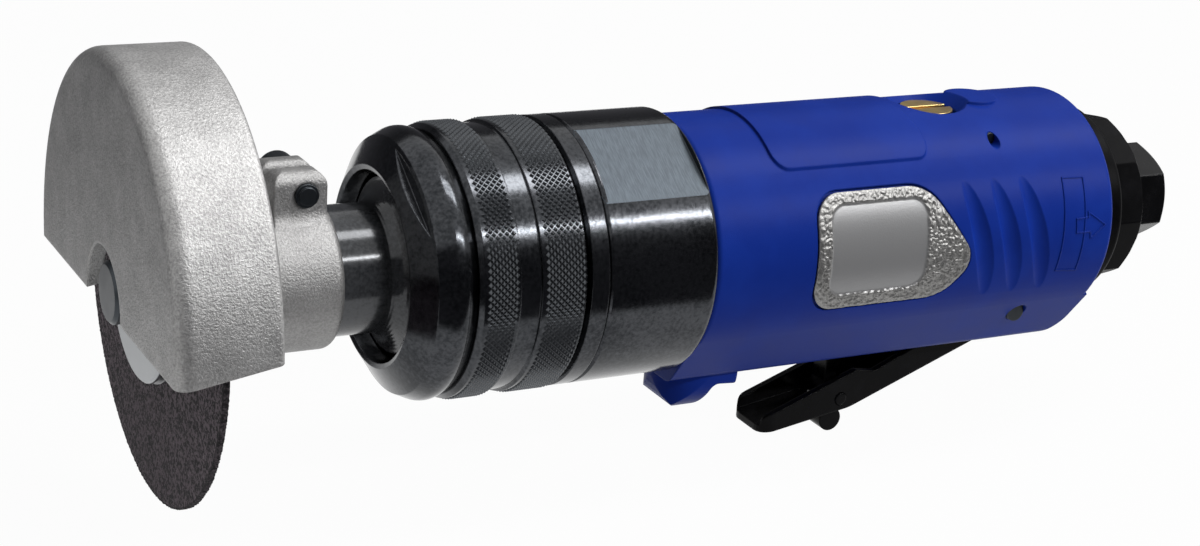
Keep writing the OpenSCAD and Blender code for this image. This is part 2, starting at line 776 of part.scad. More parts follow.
// A ball bearing: rings with their races, and caged balls on the inner ring
function inner_top(bore, r) = bore + (r - bore) * 0.3;
function outer_foot(bore, r) = bore + (r - bore) * 0.72;
function ball_r(bore, r) = (r - bore) * 0.3;
function ball_ring(bore, r) = (bore + r) / 2 + 0.01 * r;

module ball_race(x, w, bore, r) {
    turned() translate([ball_ring(bore, r), x + w / 2]) circle(ball_r(bore, r) + ball_gap);
}

module outer_ring(x, w, bore, r) {
    color([0.78, 0.78, 0.8]) difference() {
        tube_x(x, x + w, r, outer_foot(bore, r));
        ball_race(x, w, bore, r);
    }
}

module inner_ring(x, w, bore, r) {
    color([0.78, 0.78, 0.8]) difference() {
        tube_x(x, x + w, inner_top(bore, r), bore + seat_gap);
        ball_race(x, w, bore, r);
    }
}

module caged_balls(x, w, bore, r) {
    ring = ball_ring(bore, r);
    count = floor(2 * PI * ring / (2.3 * ball_r(bore, r)));
    middle = x + w / 2;
    cage_w = w * 0.3;
    color([0.7, 0.6, 0.35]) union() {
        tube_x(middle - cage_w / 2, middle + cage_w / 2, ring + cage_half, ring - cage_half);
        ring_of(count, ring) translate([middle, 0, 0]) sphere(ball_r(bore, r), $fn = 32);
    }
}

module rear_bearing_outer() outer_ring(rear_bearing_x, small_bearing_w, rear_journal_r, small_bearing_r);
module rear_bearing_balls() caged_balls(rear_bearing_x, small_bearing_w, rear_journal_r, small_bearing_r);
module rear_bearing_inner() inner_ring(rear_bearing_x, small_bearing_w, rear_journal_r, small_bearing_r);
module front_bearing_outer() outer_ring(front_bearing_x, front_bearing_w, journal_r, front_bearing_r);
module front_bearing_balls() caged_balls(front_bearing_x, front_bearing_w, journal_r, front_bearing_r);
module front_bearing_inner() inner_ring(front_bearing_x, front_bearing_w, journal_r, front_bearing_r);
module nose_bearing_outer() outer_ring(nose_bearing_x, small_bearing_w, journal_r, small_bearing_r);
module nose_bearing_balls() caged_balls(nose_bearing_x, small_bearing_w, journal_r, small_bearing_r);
module nose_bearing_inner() inner_ring(nose_bearing_x, small_bearing_w, journal_r, small_bearing_r);

// Radial blades shared by the rotor's slots and its vanes
module blades(grow, r_out) {
    for (i = [0:vane_count - 1]) rotate([i * 360 / vane_count, 0, 0])
        translate([liner_x + face_gap - grow, -vane_t / 2 - grow, rotor_r - vane_depth - grow])
            cube([liner_len - 2 * face_gap + 2 * grow, vane_t + 2 * grow, vane_depth + r_out - rotor_r + grow]);
}

module rotor() {
    shoulder_r = journal_r + 0.9;
    color([0.5, 0.5, 0.52]) difference() {
        union() {
            rod_x(rear_bearing_x, rear_bearing_x + small_bearing_w, rear_journal_r);
            rod_x(rear_bearing_x + small_bearing_w, liner_x + face_gap, rear_journal_r + 1.2);
            rod_x(liner_x + face_gap, front_plate_x - face_gap, rotor_r);
            rod_x(front_plate_x - face_gap, front_bearing_x, shoulder_r);
            rod_x(front_bearing_x, nose_x, journal_r);
            rod_x(nose_x, nose_x + tang_len, tang_r);
        }
        blades(seat_gap, rotor_r + 1);
    }
}

module rotor_vanes() {
    color([0.35, 0.2, 0.1]) intersection() {
        blades(0, rotor_r + 1);
        rod_x(liner_x, front_plate_x, rotor_r);
    }
}

module spindle() {
    color([0.55, 0.55, 0.57]) difference() {
        union() {
            rod_x(nose_x, nose_bearing_x, spindle_r);
            rod_x(nose_bearing_x, wheel_back, journal_r);
        }
        rod_x(nose_x - 1, nose_x + tang_len + seat_gap, tang_r + seat_gap);
        rod_x(wheel_back - screw_reach, wheel_back + 1, screw_r + seat_gap);
    }
}

// Wheel stack
module inner_flange() {
    color([0.5, 0.5, 0.52]) difference() {
        union() {
            rod_x(seal_x, flange_back, hub_r);
            rod_x(flange_back, wheel_back, flange_r);
            rod_x(wheel_back, wheel_front, pilot_r);
        }
        rod_x(seal_x - 1, wheel_back, journal_r + seat_gap);
        rod_x(wheel_back - 1, wheel_front + 1, screw_r + seat_gap);
    }
}

module cutting_wheel() {
    color([0.2, 0.18, 0.17]) tube_x(wheel_back, wheel_front, wheel_d / 2, wheel_bore_r);
}

module wheel_washer() {
    color([0.42, 0.42, 0.43]) tube_x(wheel_front, neck_x, washer_r, screw_r + seat_gap);
}

module outer_flange() {
    bevel = rim_t / 4;
    color([0.75, 0.76, 0.78]) turned() polygon([
        [screw_r + seat_gap, neck_x], [neck_r, neck_x], [neck_r, rim_x], [flange_r - bevel, rim_x],
        [flange_r, rim_x + bevel], [flange_r, flange_front - bevel], [flange_r - bevel, flange_front],
        [screw_r + seat_gap, flange_front]]);
}

module wheel_screw() {
    bevel = 0.6;
    foot_x = wheel_back - screw_reach + face_gap;
    top_x = head_x + screw_head_h;
    collar_r = (screw_head_r + screw_r) / 2;
    color([0.2, 0.2, 0.21]) turned() polygon([
        [0, foot_x], [screw_r, foot_x], [screw_r, flange_front], [collar_r, flange_front], [collar_r, head_x],
        [screw_head_r, head_x], [screw_head_r, top_x - bevel], [screw_head_r - bevel, top_x], [0, top_x]]);
}

// Guard
module guard_drum() {
    inner_round = guard_round - guard_wall;
    edge = 1.1;
    turned() polygon(concat(
        [[clamp_bore_r, guard_x]],
        arc([guard_r - edge, guard_x + edge], edge, -90, 0),
        arc([guard_r - guard_round, guard_front - guard_round], guard_round, 0, 90),
        [[0, guard_front], [0, plate_x]],
        arc([guard_in - inner_round, plate_x - inner_round], inner_round, 90, 0),
        [[guard_in, guard_x + guard_back], [clamp_bore_r, guard_x + guard_back]]));
}

// Ears: one each side of the slit, rounded on top and blended into the tube at the foot
module clamp_ears() {
    half = ear_w / 2;
    near = slit_w / 2;
    blend_y = half + ear_blend;
    blend_z = sqrt(pow(clamp_r + ear_blend, 2) - pow(blend_y, 2));
    ear_end = ear_x + ear_len;
    intersection() {
        for (side = [0, 1]) mirror([0, side, 0]) along_x(ear_x, ear_end) polygon(concat(
            [[near, 0]],
            arc([blend_y, blend_z], ear_blend, 180 + atan2(blend_z, blend_y), 180),
            arc([half - ear_round, ear_top - ear_round], ear_round, 0, 90),
            arc([near + ear_slit_round, ear_top - ear_slit_round], ear_slit_round, 90, 180)));
        across(-2 * half, 2 * half) polygon(rounded([
            [ear_x, 0, 0], [ear_end, 0, 0], [ear_end, ear_top, ear_round], [ear_x, ear_top, ear_round]]));
    }
}

module clamp_tube() {
    land = 0.1;
    edge = clamp_r - clamp_bore_r - land;
    turned() polygon(concat([[0, clamp_x]], arc([clamp_r - edge, clamp_x + edge], edge, -90, 0),
        [[clamp_r, guard_x + 1], [0, guard_x + 1]]));
}

module wheel_guard() {
    root = 4;
    far = 2 * guard_r;
    color([0.7, 0.7, 0.7]) difference() {
        union() {
            intersection() {
                guard_drum();
                across(-far, far) polygon([
                    [guard_x, guard_rise - guard_cut], [guard_front, -guard_cut],
                    [guard_front, far], [guard_x, far]]);
            }
            clamp_tube();
            clamp_ears();
            rod_x(guard_x, guard_x + guard_back, clamp_r + root);
        }
        rod_x(clamp_x - 1, guard_x + guard_back + 1, clamp_bore_r);
        translate([clamp_x - 1, -slit_w / 2, 0]) cube([clamp_len + 1, slit_w, ear_top + 1]);
        translate([0, 0, -notch_drop]) rod_x(plate_x - 1, guard_front + 1, notch_r);
        translate([plate_x - 1, -notch_r, -notch_drop - guard_r]) cube([guard_plate + 2, 2 * notch_r, guard_r]);
        rod_y(clamp_screw_x, clamp_screw_z, -ear_w, ear_w, clamp_screw_r + seat_gap);
        rod_y(clamp_screw_x, clamp_screw_z, -ear_w, clamp_head_y, clamp_head_r + seat_gap);
    }
}

module clamp_screw() {
    socket_af = 4;
    socket_depth = 2.4;
    tip_out = 0.6;
    tip_step = 0.5;
    color([0.12, 0.12, 0.13]) difference() {
        union() {
            rod_y(clamp_screw_x, clamp_screw_z, clamp_head_y, ear_w / 2 + tip_out, clamp_screw_r);
            rod_y(clamp_screw_x, clamp_screw_z, 0, ear_w / 2 + tip_out + tip_step, clamp_screw_r - tip_step);
            rod_y(clamp_screw_x, clamp_screw_z, clamp_head_y - clamp_head_h, clamp_head_y, clamp_head_r);
        }
        translate([clamp_screw_x, clamp_head_y - clamp_head_h - 1, clamp_screw_z]) rotate([-90, 0, 0])
            cylinder(h = socket_depth + 1, r = socket_af / 2 / cos(30), $fn = 6);
    }
}

// Throttle lever and its lock
// A corner at a place measured from the pivot, with its rounding
function from_pivot(p, r) = [pivot_at[0] + p[0], pivot_at[1] + p[1], r];

// Side of the lever: a low wall with a hump at the lock pin, rising to the pivot's eye
module lever_wall() {
    tip_h = 3.6;
    low_h = 4.2;
    eye = 4.4;
    hump_x = hump_at[0] - 4.6;
    corners = [
        from_pivot(lever_tip, 1.2), from_pivot(lever_bend, bend_r), from_pivot(lever_heel, 2),
        from_pivot([-eye, -4], 1), from_pivot([-eye, eye * 0.4], 1), from_pivot([eye, eye * 0.4], 1),
        from_pivot([eye + 1, floor_z(eye + 1) + low_h + 2], 2), from_pivot([hump_x, floor_z(hump_x) + low_h + 1], 2),
        from_pivot(hump_at, 1.6), from_pivot(lever_tip + [-0.6, tip_h], 2.8)];
    difference() {
        union() {
            polygon(rounded(corners));
            translate(pivot_at) circle(eye);
        }
        translate(pivot_at) circle(pivot_r + run_gap);
    }
}

module lever_floor() {
    rise = [0, lever_t];
    polygon(rounded([
        from_pivot(lever_heel, 0), from_pivot(lever_bend, bend_r), from_pivot(lever_tip, 0),
        from_pivot(lever_tip + rise, 0), from_pivot(lever_bend + rise, bend_r), from_pivot(lever_heel + rise, 0)]));
}

module throttle_lever() {
    half = lever_w / 2;
    corner = 3;
    back = slot_x;
    front = pivot_at[0] + lever_reach;
    color([0.06, 0.06, 0.065]) difference() {
        intersection() {
            union() {
                across(half - lever_t, half) lever_wall();
                across(-half, lever_t - half) lever_wall();
                across(-half, half) lever_floor();
            }
            translate([0, 0, -3 * grip_r]) linear_extrude(3 * grip_r) polygon(rounded([
                [back, -half, 0], [front, -half, corner], [front, half, corner], [back, half, 0]]));
        }
        translate([lock_at[0] - lock_slot_back, -lock_slot[1] / 2, lock_at[1] - lock_slot[2]]) cube(lock_slot);
        rod_y(lock_at[0], lock_at[1], -lever_w, lever_w, lock_pin_r + seat_gap);
    }
}

module lever_pin() {
    half = grip_r * 0.68;
    color([0.55, 0.55, 0.57]) rod_y(pivot_at[0], pivot_at[1], -half, half, pivot_r);
}

module lock_lever() {
    hub = 2.6;
    arm = 1.3;
    half = lock_w / 2;
    color([0.05, 0.05, 0.055]) difference() {
        union() {
            across(-half, half - spring_room) union() {
                translate(lock_at) circle(hub);
                translate(lock_at + [-arm, 0]) square([2 * arm, tongue_rise]);
                translate(lock_at + [-arm, -finger_drop]) square([2 * arm, finger_drop]);
            }
            rod_y(lock_at[0], lock_at[1] - finger_drop, -half, half, finger_r);
        }
        rod_y(lock_at[0], lock_at[1], -lever_w, lever_w, lock_pin_r + run_gap);
    }
}

module lock_pin() {
    half = lever_w / 2 + 0.2;
    color([0.5, 0.5, 0.52]) rod_y(lock_at[0], lock_at[1], -half, half, lock_pin_r);
}

module lock_spring() {
    wire = 0.7;
    y0 = lock_w / 2 - spring_room + face_gap;
    color([0.7, 0.7, 0.72]) difference() {
        rod_y(lock_at[0], lock_at[1], y0, lever_w / 2 - lever_t, lock_pin_r + seat_gap + wire);
        rod_y(lock_at[0], lock_at[1], -lever_w, lever_w, lock_pin_r + seat_gap);
    }
}

// Throttle valve and speed regulator
module rotate_at_valve() translate([valve_at, 0, 0]) rotate_extrude() children();

module valve_bush() {
    counter = 2;
    color([0.72, 0.6, 0.3]) difference() {
        rod_z(valve_at, -slot_top, bush_top, valve_r - seat_gap);
        rod_z(valve_at, -slot_top - 1, bush_top + 1, stem_r + run_gap);
        rod_z(valve_at, -slot_top - 1, -slot_top + counter, stem_r + 1);
    }
}

module valve_stem() {
    guide_r = 1.5;
    guide_top = 4;
    color([0.6, 0.6, 0.62]) union() {
        translate([valve_at, 0, stem_foot + stem_r]) sphere(stem_r);
        rod_z(valve_at, stem_foot + stem_r, poppet_foot + 1, stem_r);
        rod_z(valve_at, poppet_foot, poppet_top, poppet_r);
        rod_z(valve_at, poppet_foot + 1, guide_top, guide_r);
    }
}

module stem_seal() {
    color([0.05, 0.05, 0.05]) difference() {
        rod_z(valve_at, bush_top + face_gap, poppet_foot, poppet_r);
        rod_z(valve_at, bush_top, poppet_foot + 1, stem_r + seat_gap);
    }
}

module valve_spring() {
    inner = 1.9;
    wire = 0.8;
    color([0.7, 0.7, 0.72]) difference() {
        rod_z(valve_at, poppet_top, regulator_foot, inner + wire);
        rod_z(valve_at, bush_top, regulator_foot + 1, inner);
    }
}

module speed_regulator() {
    slot_d = 1.6;
    bevel = 0.8;
    neck = 1.8;
    color([0.82, 0.66, 0.28]) difference() {
        rotate_at_valve() polygon([
            [0, regulator_foot], [regulator_r, regulator_foot], [regulator_r, keeper_z - neck],
            [keeper_neck, keeper_z - neck], [keeper_neck, keeper_z + neck], [regulator_r - bevel, keeper_z + neck],
            [regulator_r - bevel, regulator_top], [0, regulator_top]]);
        rotate_at_valve() translate([regulator_r - ring_w, ring_z]) square([ring_w + 1, 2 * ring_w]);
        translate([valve_at - regulator_r, -slot_d / 2, regulator_top - slot_d])
            cube([2 * regulator_r, slot_d, slot_d + 1]);
    }
}

module regulator_seal() {
    color([0.05, 0.05, 0.05]) rotate_at_valve() translate([regulator_r - ring_w + seat_gap, ring_z + seat_gap])
        square([ring_w - seat_gap, 2 * (ring_w - seat_gap)]);
}

module regulator_pin() {
    half = 0.9 * sqrt(grip_r * grip_r - keeper_z * keeper_z);
    color([0.4, 0.4, 0.42]) rod_y(keeper_x, keeper_z, -half, half, keeper_r);
}

grip();
badge_left();
badge_right();
motor_housing();
housing_seal();
spacer_ring();
lock_collar();
nose_cap();
nose_housing();
nose_seal();
cylinder_liner();
rear_end_plate();
front_end_plate();
rear_bearing_outer();
rear_bearing_balls();
rear_bearing_inner();
front_bearing_outer();
front_bearing_balls();
front_bearing_inner();
nose_bearing_outer();
nose_bearing_balls();
nose_bearing_inner();
rotor();
rotor_vanes();
spindle();
inner_flange();
cutting_wheel();
wheel_washer();
outer_flange();
wheel_screw();
wheel_guard();
clamp_screw();
inlet_bushing();
inlet_screen();
exhaust_ring();
rear_cap();
silencer();
throttle_lever();
lever_pin();
lock_lever();
lock_pin();
lock_spring();
valve_bush();
valve_stem();
stem_seal();
valve_spring();
speed_regulator();
regulator_seal();
regulator_pin();
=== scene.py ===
import math

import bpy
import bmesh
import numpy as np
from mathutils import Matrix, Vector, noise


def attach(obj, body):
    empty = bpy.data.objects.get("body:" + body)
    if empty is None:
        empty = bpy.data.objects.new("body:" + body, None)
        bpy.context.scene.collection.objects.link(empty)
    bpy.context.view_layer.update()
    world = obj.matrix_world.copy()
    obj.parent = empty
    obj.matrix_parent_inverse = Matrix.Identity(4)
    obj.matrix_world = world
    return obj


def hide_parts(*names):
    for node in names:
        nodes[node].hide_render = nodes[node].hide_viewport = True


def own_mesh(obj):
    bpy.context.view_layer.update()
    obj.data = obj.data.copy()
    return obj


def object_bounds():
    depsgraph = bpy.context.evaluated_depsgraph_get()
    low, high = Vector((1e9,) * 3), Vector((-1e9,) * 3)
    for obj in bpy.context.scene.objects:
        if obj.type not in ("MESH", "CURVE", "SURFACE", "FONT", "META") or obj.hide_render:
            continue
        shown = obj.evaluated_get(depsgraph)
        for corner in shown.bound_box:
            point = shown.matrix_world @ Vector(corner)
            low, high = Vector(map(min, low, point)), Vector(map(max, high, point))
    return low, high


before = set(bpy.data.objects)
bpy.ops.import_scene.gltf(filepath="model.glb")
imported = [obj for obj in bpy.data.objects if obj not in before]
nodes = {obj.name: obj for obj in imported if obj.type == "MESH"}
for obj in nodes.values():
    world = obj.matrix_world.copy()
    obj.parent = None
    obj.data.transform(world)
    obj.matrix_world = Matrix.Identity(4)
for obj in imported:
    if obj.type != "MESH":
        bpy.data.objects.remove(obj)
cadLow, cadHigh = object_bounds()
scene = bpy.context.scene
mm = 0.001
white = (1.0, 1.0, 1.0, 1.0)
print("frame loaded:", len(nodes), "nodes")


# shader values: arithmetic on one adds its Math nodes
class Wire:
    def __init__(self, paint, socket):
        self.paint, self.socket = paint, socket

    def math(self, operation, other, flip=False):
        first, second = (other, self) if flip else (self, other)
        return self.paint.node("ShaderNodeMath", {"operation": operation}, {0: first, 1: second})

    def __add__(self, other):
        return self.math("ADD", other)

    def __sub__(self, other):
        return self.math("SUBTRACT", other)

    def __rsub__(self, other):
        return self.math("SUBTRACT", other, True)

    def __mul__(self, other):
        return self.math("MULTIPLY", other)

    __radd__ = __add__

    def most(self, other):
        return self.math("MAXIMUM", other)

    def size(self):
        return self.math("ABSOLUTE", 0.0)

    # 0 below low, 1 above high, soft between
    def ramp(self, low, high):
        return self.paint.node("ShaderNodeMapRange", {"interpolation_type": "SMOOTHSTEP"},
                               {"Value": self, "From Min": low, "From Max": high})


# a material and its nodes, with places in millimetres
class Paint:
    def __init__(self, name):
        self.material = bpy.data.materials.new(name)
        self.material.use_nodes = True
        self.tree = self.material.node_tree
        self.tree.nodes.clear()
        coords = self.node("ShaderNodeTexCoord", out="Object")
        self.place = self.node("ShaderNodeVectorMath", {"operation": "SCALE"},
                               {0: coords, "Scale": 1 / mm})
        self.axes = {}

    def node(self, kind, settings=None, sockets=None, out=0):
        made = self.tree.nodes.new(kind)
        for key, value in (settings or {}).items():
            setattr(made, key, value)
        for key, value in (sockets or {}).items():
            if isinstance(value, Wire):
                self.tree.links.new(value.socket, made.inputs[key])
            else:
                made.inputs[key].default_value = value
        return Wire(self, made.outputs[out])

    # millimetres along one of the tool's axes
    def along(self, axis):
        if axis not in self.axes:
            self.axes[axis] = self.node("ShaderNodeSeparateXYZ", sockets={0: self.place}, out=axis)
        return self.axes[axis]

    # millimetres from the tool's axis
    def radius(self):
        flat = self.node("ShaderNodeVectorMath", {"operation": "MULTIPLY"},
                         {0: self.place, 1: (0.0, 1.0, 1.0)})
        return self.node("ShaderNodeVectorMath", {"operation": "LENGTH"}, {0: flat}, "Value")

    def noise(self, scale, detail=3.0, rough=0.55, stretch=None):
        where = self.place
        if stretch:
            where = self.node("ShaderNodeVectorMath", {"operation": "MULTIPLY"},
                              {0: where, 1: stretch})
        return self.node("ShaderNodeTexNoise", None,
                         {"Vector": where, "Scale": scale, "Detail": detail, "Roughness": rough})

    # sockets 6 and 7 and output 2 are the Mix node's colours
    def mix(self, share, first, second):
        sockets = {0: share}
        for key, colour in ((6, first), (7, second)):
            sockets[key] = colour if isinstance(colour, Wire) else (*colour, 1.0)
        return self.node("ShaderNodeMix", {"data_type": "RGBA"}, sockets, 2)

    def edges(self, radius):
        return self.node("ShaderNodeBevel", {"samples": 6}, {"Radius": radius * mm})

    def bump(self, height, depth, normal=None, strength=1.0):
        sockets = {"Strength": strength, "Distance": depth * mm, "Height": height}
        if normal:
            sockets["Normal"] = normal
        return self.node("ShaderNodeBump", None, sockets)

    def finish(self, **sockets):
        named = {key.replace("_", " ").title().replace("Ior", "IOR"): value
                 for key, value in sockets.items()}
        for key, value in named.items():
            if isinstance(value, tuple) and len(value) == 3:
                named[key] = (*value, 1.0)
        self.output(self.node("ShaderNodeBsdfPrincipled", None, named))
        return self.material

    def output(self, shader):
        end = self.tree.nodes.new("ShaderNodeOutputMaterial")
        self.tree.links.new(shader.socket, end.inputs["Surface"])


def scaled(tone, factor):
    return tuple(channel * factor for channel in tone)


# bead-blasted casting: fine sparkle over a cloudy grey, with painted shade on the clamp where the
# guard's shadow falls
castSizes = {"speck": 2.3, "finer": 2.3, "cloud": 0.16, "depth": 0.18, "edge": 0.7,
             "clamp": 205.5, "clampSoft": 1.0, "clampShadowDepth": 0.42, "clampShadowTone": 0.6,
             "metal": 0.72, "gloss": 0.36,
             "dark": (0.27, 0.266, 0.264), "light": (0.55, 0.545, 0.54)}


def castAluminium():
    size = castSizes
    paint = Paint("blasted casting")
    speck = paint.noise(size["speck"], detail=2.0, rough=0.6)
    cloud = paint.noise(size["cloud"])
    sparkle = paint.noise(size["speck"] * size["finer"], detail=1.0)
    tone = (speck * 0.9 + cloud * 0.5 - 0.2).ramp(0.15, 0.85)
    # painted shade: the casting rearward of x = clamp mm is mixed towards a darker grey, standing
    # in for the guard's shadow on the clamp
    paintedShadow = 1.0 - paint.along("X").ramp(size["clamp"] - size["clampSoft"], size["clamp"])
    blasted = paint.mix(tone, size["dark"], size["light"])
    shade = scaled(size["dark"], size["clampShadowTone"])
    return paint.finish(
        base_color=paint.mix(paintedShadow * size["clampShadowDepth"], blasted, shade),
        metallic=size["metal"], roughness=size["gloss"] + sparkle * 0.22 + cloud * 0.05,
        normal=paint.bump(speck * 0.7 + sparkle * 0.3, size["depth"], paint.edges(size["edge"])))


# bonded grit: brown-grey grains with pale and dark specks, dark on the rim
gritSizes = {"grain": 1.5, "finer": 1.6, "depth": 0.16, "gloss": 0.72, "shine": 0.3,
             "rim": 37.3, "rimSoft": 0.2, "rimShade": 0.75, "fleckShare": 0.55,
             "dark": (0.006, 0.005, 0.0065), "light": (0.24, 0.2, 0.225),
             "pale": (0.6, 0.54, 0.56)}


def bondedGrit():
    size = gritSizes
    paint = Paint("bonded grit")
    grain = paint.noise(size["grain"], rough=0.65)
    fleck = paint.noise(size["grain"] * size["finer"], detail=1.0).ramp(0.6, 0.76)
    body = paint.mix(grain.ramp(0.46, 0.56), size["dark"], size["light"])
    rim = paint.radius().ramp(size["rim"], size["rim"] + size["rimSoft"])
    inside = 1.0 - rim * size["rimShade"]
    flecked = paint.mix(fleck * size["fleckShare"], body, size["pale"])
    return paint.finish(
        base_color=paint.mix(inside, size["dark"], flecked),
        roughness=size["gloss"] + grain * 0.2, specular_ior_level=size["shine"],
        normal=paint.bump(grain, size["depth"]))


# black-oxide steel: lathe lines round the axis and faint smears of oil
oxideSizes = {"smear": 0.09, "smearStretch": (0.5, 1.0, 1.0), "lineStretch": (9.0, 0.02, 0.02),
              "mottle": 1.4, "depth": 0.005, "edge": 0.3,
              "dark": (0.026, 0.028, 0.031), "light": (0.068, 0.071, 0.077)}


def oxideNoises(paint):
    size = oxideSizes
    smear = paint.noise(size["smear"], detail=4.0, rough=0.6, stretch=size["smearStretch"])
    lines = paint.noise(1.0, detail=2.0, rough=0.5, stretch=size["lineStretch"])
    mottle = paint.noise(size["mottle"], rough=0.65)
    tone = (smear * 0.5 + mottle * 0.5).ramp(0.36, 0.62)
    return smear, lines, mottle, paint.mix(tone, size["dark"], size["light"])


def blackOxide(name, gloss, lathe=0.5, metallic=1.0):
    paint = Paint(name)
    smear, lines, mottle, turned = oxideNoises(paint)
    depth = oxideSizes["depth"] * lathe
    return paint.finish(
        base_color=turned, metallic=metallic, roughness=gloss + smear * 0.08 + mottle * 0.08,
        normal=paint.bump(lines * 0.6 + mottle * 0.4, depth, paint.edges(oxideSizes["edge"])))


# knurled steel: the tips of the teeth are rubbed bright
tipSizes = {"root": 24.7, "tip": 25.1, "oil": 0.35, "metal": 0.85, "gloss": 0.3,
            "dark": (0.012, 0.013, 0.015), "light": (0.1, 0.107, 0.116)}


def rubbedKnurl():
    size = tipSizes
    paint = Paint("black oxide, knurled")
    height = paint.radius().ramp(size["root"], size["tip"])
    oil = paint.noise(size["oil"])
    return paint.finish(
        base_color=paint.mix(height * (0.55 + oil * 0.6), size["dark"], size["light"]),
        metallic=size["metal"], roughness=size["gloss"] - height * 0.1 + oil * 0.08)


# the housing adds two milled wrench flats, greyer and brushed
flatSizes = {"turn": 33.5, "from": 23.62, "deep": 0.1, "soft": 0.04, "depth": 0.006, "gloss": 0.09,
             "brush": (4.0, 0.4, 0.4), "dark": (0.042, 0.053, 0.066),
             "light": (0.07, 0.088, 0.106)}


def milledHousing():
    size = flatSizes
    paint = Paint("black oxide with wrench flats")
    turn = math.radians(size["turn"])
    out = (paint.along("Y") * math.sin(turn) + paint.along("Z") * math.cos(turn)).size()
    inner = size["from"] - size["deep"]
    flat = (1.0 - out.ramp(size["from"], size["from"] + size["soft"])) * out.ramp(
        inner, inner + size["soft"])
    smear, lines, mottle, turned = oxideNoises(paint)
    brushed = paint.noise(1.0, rough=0.6, stretch=size["brush"])
    milled = paint.mix(brushed.ramp(0.3, 0.7), size["dark"], size["light"])
    relief = lines * 0.5 + brushed * flat
    return paint.finish(
        base_color=paint.mix(flat, turned, milled), metallic=1.0 - flat * 0.5,
        roughness=size["gloss"] + smear * 0.08 + mottle * 0.06 + flat * 0.3,
        normal=paint.bump(relief, size["depth"], paint.edges(oxideSizes["edge"])))


# black coated pieces: levers, rear rings, inlet
coatSizes = {"wear": 0.25, "worn": 2.4, "depth": 0.02, "edge": 0.5, "tone": (0.002, 0.002, 0.0024)}


def blackCoat(name, gloss, grain, shine):
    size = coatSizes
    paint = Paint(name)
    fine = paint.noise(grain, detail=2.0)
    wear = paint.noise(size["wear"], detail=4.0, rough=0.65)
    worn = scaled(size["tone"], size["worn"])
    return paint.finish(
        base_color=paint.mix(wear.ramp(0.4, 0.8), size["tone"], worn),
        roughness=gloss + wear * 0.16, specular_ior_level=shine,
        normal=paint.bump(fine, size["depth"], paint.edges(size["edge"])))


# moulded blue composite: fine spark grain with soft rubbed patches
gripSizes = {"grain": 4.5, "patch": 0.07, "depth": 0.022, "edge": 0.5, "gloss": 0.28, "shine": 0.06,
             "blue": (0.0045, 0.024, 0.235), "rubbed": (0.006, 0.031, 0.28)}


def blueComposite():
    size = gripSizes
    paint = Paint("blue composite")
    grain = paint.noise(size["grain"], detail=2.0, rough=0.6)
    rubbed = paint.noise(size["patch"], detail=4.0, rough=0.6)
    return paint.finish(
        base_color=paint.mix(rubbed.ramp(0.35, 0.75), size["blue"], size["rubbed"]),
        roughness=size["gloss"] + rubbed * 0.16 + grain * 0.05, specular_ior_level=size["shine"],
        normal=paint.bump(grain, size["depth"], paint.edges(size["edge"])))


# silver badge: the stipple is in the mesh, this is its satin metal
badgeFinish = {"grain": 3.5, "depth": 0.03, "strength": 0.7, "metal": 0.35, "gloss": 0.3,
               "dark": (0.19, 0.187, 0.181), "light": (0.37, 0.365, 0.357),
               "panelDark": (0.27, 0.27, 0.275), "panelLight": (0.33, 0.33, 0.335)}


def badgeSilver():
    size = badgeFinish
    paint = Paint("badge silver")
    rim = paint.node("ShaderNodeAttribute", {"attribute_name": "rim"}, out="Fac")
    fine = paint.noise(size["grain"], detail=2.0)
    tone = paint.mix(fine.ramp(0.25, 0.75), size["dark"], size["light"])
    smooth = paint.mix(fine * 0.3, size["panelDark"], size["panelLight"])
    return paint.finish(
        base_color=paint.mix(rim, smooth, tone), metallic=size["metal"] + rim * 0.45,
        roughness=size["gloss"] + rim * 0.1 + fine * 0.06,
        normal=paint.bump(fine, size["depth"], strength=size["strength"]))


# machined metals, with turning lines along the axis they were turned about
turnedSizes = {"stain": 0.3, "depth": 0.005, "edge": 0.25}


def machined(name, dark, light, gloss, stretch=(7.0, 0.05, 0.05)):
    paint = Paint(name)
    lines = paint.noise(1.0, rough=0.6, stretch=stretch)
    stain = paint.noise(turnedSizes["stain"])
    return paint.finish(
        base_color=paint.mix(lines * 0.6 + stain * 0.4, dark, light), metallic=1.0,
        roughness=gloss + stain * 0.12,
        normal=paint.bump(lines, turnedSizes["depth"], paint.edges(turnedSizes["edge"])))


# rubber, felt and laminate: matt, with a fine grain
mattSizes = {"grain": 3.0, "pale": 1.8, "gloss": 0.75, "depth": 0.04}


def mattRubber(name, tone):
    paint = Paint(name)
    fine = paint.noise(mattSizes["grain"])
    return paint.finish(
        base_color=paint.mix(fine, tone, scaled(tone, mattSizes["pale"])),
        roughness=mattSizes["gloss"] + fine * 0.15, normal=paint.bump(fine, mattSizes["depth"]))


